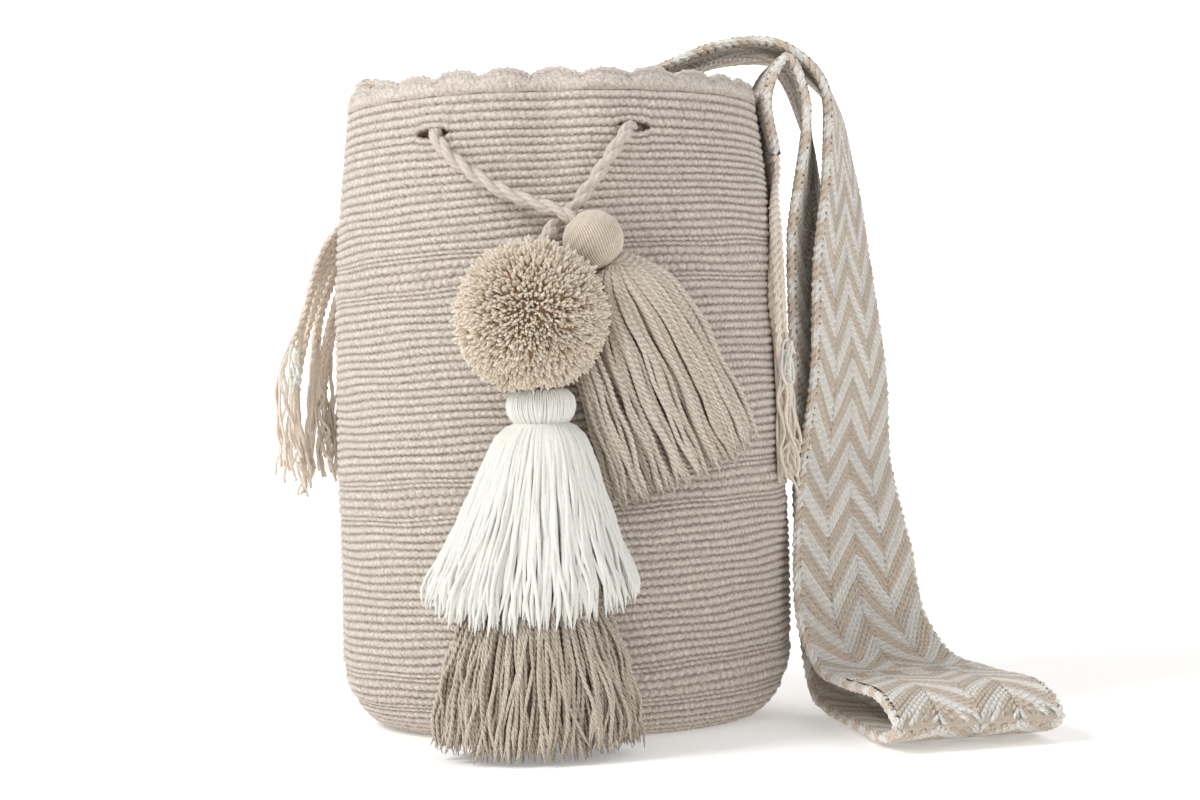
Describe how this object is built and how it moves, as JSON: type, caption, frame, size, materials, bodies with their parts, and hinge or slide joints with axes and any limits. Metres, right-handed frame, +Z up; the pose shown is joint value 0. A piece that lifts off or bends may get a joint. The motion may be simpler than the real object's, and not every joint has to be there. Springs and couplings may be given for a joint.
{
  "type": "crochet bucket bag",
  "caption": "Round crocheted bucket bag in beige yarn with a chevron-woven strap and a drawstring with a pompom and tassels.",
  "frame": {"origin": "centre of the flat base, on the floor that the bag stands on", "axes": "+Z up the bag's axis; the front, between the two front eyelets, faces -Y; the strap falls on the +X side"},
  "size_m": [0.3365, 0.2625, 0.3059],
  "materials": {
    "beige_crochet": "matt crocheted cotton yarn in close rows",
    "pale_cord": "matt twisted cotton cord",
    "tan_pompom": "matt cut yarn ends",
    "white_yarn": "soft white yarn strands",
    "beige_yarn": "soft beige yarn strands",
    "chevron_weave": "matt woven cotton in beige and white chevrons"
  },
  "bodies": {
    "root": {"bag_body": "beige_crochet", "rim_edging": "beige_crochet", "drawstring": "pale_cord", "pompom": "tan_pompom", "white_tassel": "white_yarn", "lower_tassel": "beige_yarn", "wrapped_bead": "beige_yarn", "bead_tassel": "beige_yarn", "strap": "chevron_weave", "left_fringe_cord_1": "pale_cord", "left_fringe_cord_2": "pale_cord", "left_fringe_cord_3": "pale_cord", "left_fringe_cord_4": "pale_cord", "left_fringe_cord_5": "pale_cord", "left_fringe_cord_6": "pale_cord", "right_fringe_cord_1": "pale_cord", "right_fringe_cord_2": "pale_cord", "right_fringe_cord_3": "pale_cord", "right_fringe_cord_4": "pale_cord", "right_fringe_cord_5": "pale_cord"}
  },
  "joints": []
}
